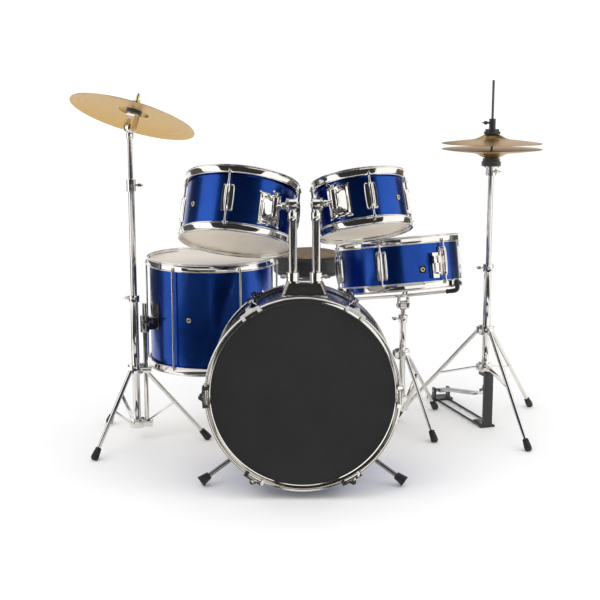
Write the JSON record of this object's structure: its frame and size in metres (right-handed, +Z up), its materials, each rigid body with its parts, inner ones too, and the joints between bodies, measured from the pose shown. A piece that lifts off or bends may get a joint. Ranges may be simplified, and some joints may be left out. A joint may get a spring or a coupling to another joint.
{
  "type": "acoustic drum kit",
  "caption": "Junior drum kit in blue wrap with chrome hoops: bass drum, rack toms, floor tom, snare on its stand, crash cymbal, hi-hat, kick pedal and round throne.",
  "frame": {"origin": "on the floor, under the middle of the kit's bounding box", "axes": "+Z up, +Y from the audience towards the drummer, +X to the right as the audience sees the kit"},
  "size_m": [1.1798, 1.0455, 0.878],
  "materials": {
    "blue_wrap": "gloss blue wrap",
    "head_film": "satin film",
    "black_head": "satin film",
    "chrome": "polished",
    "steel_wire": "bright wire",
    "bronze": "lathed",
    "black_metal": "satin",
    "pedal_metal": "cast",
    "black_felt": "felt",
    "black_vinyl": "grained vinyl",
    "black_rubber": "matt"
  },
  "bodies": {
    "kit_base": {"bass_shell": "blue_wrap", "bass_heads": "black_head", "bass_hoops": "chrome", "bass_lugs": "chrome", "bass_claws": "chrome", "bass_spur_brackets": "chrome", "tom_mount": "chrome", "floor_tom_holder": "chrome", "snare_stand": "chrome", "crash_stand": "chrome", "hat_stand": "chrome", "hat_pedal_frame": "black_metal", "kick_frame": "black_metal", "throne_stand": "chrome", "rubber_feet": "black_rubber"},
    "left_spur": {"left_spur": "chrome"},
    "right_spur": {"right_spur": "chrome"},
    "left_post": {"left_tom_post": "chrome"},
    "left_tom": {"left_tom_shell": "blue_wrap", "left_tom_heads": "head_film", "left_tom_hoops": "chrome", "left_tom_lugs": "chrome", "left_tom_bracket": "chrome"},
    "right_post": {"right_tom_post": "chrome"},
    "right_tom": {"right_tom_shell": "blue_wrap", "right_tom_heads": "head_film", "right_tom_hoops": "chrome", "right_tom_lugs": "chrome", "right_tom_bracket": "chrome"},
    "floor_tom": {"floor_tom_shell": "blue_wrap", "floor_tom_heads": "head_film", "floor_tom_hoops": "chrome", "floor_tom_rods": "chrome", "floor_tom_bracket": "chrome"},
    "snare_tube": {"snare_tube": "chrome"},
    "snare": {"snare_basket": "chrome", "snare_shell": "blue_wrap", "snare_heads": "head_film", "snare_hoops": "chrome", "snare_lugs": "chrome", "snare_strainer": "chrome", "snare_wires": "steel_wire"},
    "strainer_lever": {"strainer_lever": "chrome"},
    "crash_middle": {"crash_middle_tube": "chrome"},
    "crash_upper": {"crash_upper_tube": "chrome"},
    "crash_tilter": {"crash_tilter": "chrome"},
    "crash_cymbal": {"crash_cymbal": "bronze"},
    "hat_tube": {"hat_upper_tube": "chrome", "hat_seat": "black_felt", "hat_bottom_cymbal": "bronze"},
    "hat_rod": {"hat_pull_rod": "chrome"},
    "hat_top": {"hat_clutch": "black_metal", "hat_top_cymbal": "bronze"},
    "hat_pedal": {"hat_footboard": "pedal_metal"},
    "kick_pedal": {"kick_footboard": "pedal_metal"},
    "kick_link": {"kick_link": "black_metal"},
    "kick_beater": {"kick_beater": "chrome"},
    "throne_post": {"throne_post": "chrome"},
    "throne_seat": {"throne_seat_plate": "black_metal", "throne_cushion": "black_vinyl"}
  },
  "joints": [
    {"name": "left_spur_slide", "type": "slide", "parent": "kit_base", "child": "left_spur", "axis": [-0.7969, -0.2875, -0.5312], "range_m": [-0.05, 0]},
    {"name": "right_spur_slide", "type": "slide", "parent": "kit_base", "child": "right_spur", "axis": [0.7969, -0.2875, -0.5312], "range_m": [-0.05, 0]},
    {"name": "left_post_height", "type": "slide", "parent": "kit_base", "child": "left_post", "axis": [0, 0, 1], "range_m": [0, 0.05]},
    {"name": "left_tom_tilt", "type": "hinge", "parent": "left_post", "child": "left_tom", "pos_m": [-0.06292, -0.35124, 0.613], "axis": [1, 0, 0], "range_deg": [0, 16]},
    {"name": "right_post_height", "type": "slide", "parent": "kit_base", "child": "right_post", "axis": [0, 0, 1], "range_m": [0, 0.05]},
    {"name": "right_tom_tilt", "type": "hinge", "parent": "right_post", "child": "right_tom", "pos_m": [-0.01192, -0.35124, 0.613], "axis": [1, 0, 0], "range_deg": [0, 16]},
    {"name": "floor_tom_height", "type": "slide", "parent": "kit_base", "child": "floor_tom", "axis": [0, 0, 1], "range_m": [-0.012, 0.006]},
    {"name": "snare_height", "type": "slide", "parent": "kit_base", "child": "snare_tube", "axis": [0, 0, 1], "range_m": [0, 0.05]},
    {"name": "snare_tilt", "type": "hinge", "parent": "snare_tube", "child": "snare", "pos_m": [0.21558, 0.05076, 0.314], "axis": [1, 0, 0], "range_deg": [-7, 7]},
    {"name": "strainer_throw", "type": "hinge", "parent": "snare", "child": "strainer_lever", "pos_m": [0.28187, -0.07799, 0.45138], "axis": [-0.8779, -0.4788, -0.0007], "range_deg": [0, 80]},
    {"name": "crash_middle_height", "type": "slide", "parent": "kit_base", "child": "crash_middle", "axis": [0, 0, 1], "range_m": [-0.04, 0.12]},
    {"name": "crash_upper_height", "type": "slide", "parent": "crash_middle", "child": "crash_upper", "axis": [0, 0, 1], "range_m": [-0.04, 0.1]},
    {"name": "crash_cymbal_tilt", "type": "hinge", "parent": "crash_upper", "child": "crash_tilter", "pos_m": [-0.44942, -0.09224, 0.768], "axis": [0.7771, -0.6293, 0], "range_deg": [-15, 15]},
    {"name": "crash_cymbal_spin", "type": "hinge", "parent": "crash_tilter", "child": "crash_cymbal", "pos_m": [-0.44458, -0.08627, 0.78646], "axis": [0.2418, 0.2987, 0.9232], "continuous": true},
    {"name": "hat_height", "type": "slide", "parent": "kit_base", "child": "hat_tube", "axis": [0, 0, 1], "range_m": [0, 0.08]},
    {"name": "hat_pedal_press", "type": "hinge", "parent": "kit_base", "child": "hat_pedal", "pos_m": [0.34662, 0.28994, 0.026], "axis": [0.9511, 0.309, 0], "range_deg": [0, 2.8], "stiffness_Nm_per_rad": 14, "springref_deg": -28.65},
    {"name": "hat_rod_travel", "type": "slide", "parent": "kit_base", "child": "hat_rod", "axis": [0, 0, 1], "range_m": [-0.0125, 0]},
    {"name": "hat_clutch_height", "type": "slide", "parent": "hat_rod", "child": "hat_top", "axis": [0, 0, 1], "range_m": [0, 0.08]},
    {"name": "kick_pedal_press", "type": "hinge", "parent": "kit_base", "child": "kick_pedal", "pos_m": [-0.04142, -0.00324, 0.02], "axis": [1, 0, 0], "range_deg": [0, 8], "stiffness_Nm_per_rad": 4, "springref_deg": -45.84},
    {"name": "kick_link_travel", "type": "slide", "parent": "kit_base", "child": "kick_link", "axis": [0, 0, 1], "range_m": [-0.024, 0]},
    {"name": "kick_beater_swing", "type": "hinge", "parent": "kit_base", "child": "kick_beater", "pos_m": [-0.04142, -0.19324, 0.178], "axis": [1, 0, 0], "range_deg": [0, 21.6]},
    {"name": "throne_height", "type": "slide", "parent": "kit_base", "child": "throne_post", "axis": [0, 0, 1], "range_m": [0, 0.08]},
    {"name": "throne_swivel", "type": "hinge", "parent": "throne_post", "child": "throne_seat", "pos_m": [-0.02442, 0.41876, 0.33], "axis": [0, 0, 1], "continuous": true}
  ],
  "couplings": [
    {"joint": "hat_rod_travel", "follows": "hat_pedal_press", "m_per_rad": -0.235},
    {"joint": "hat_clutch_height", "follows": "hat_height", "ratio": 1},
    {"joint": "kick_link_travel", "follows": "kick_pedal_press", "m_per_rad": -0.168},
    {"joint": "kick_beater_swing", "follows": "kick_pedal_press", "ratio": 2.6875}
  ]
}
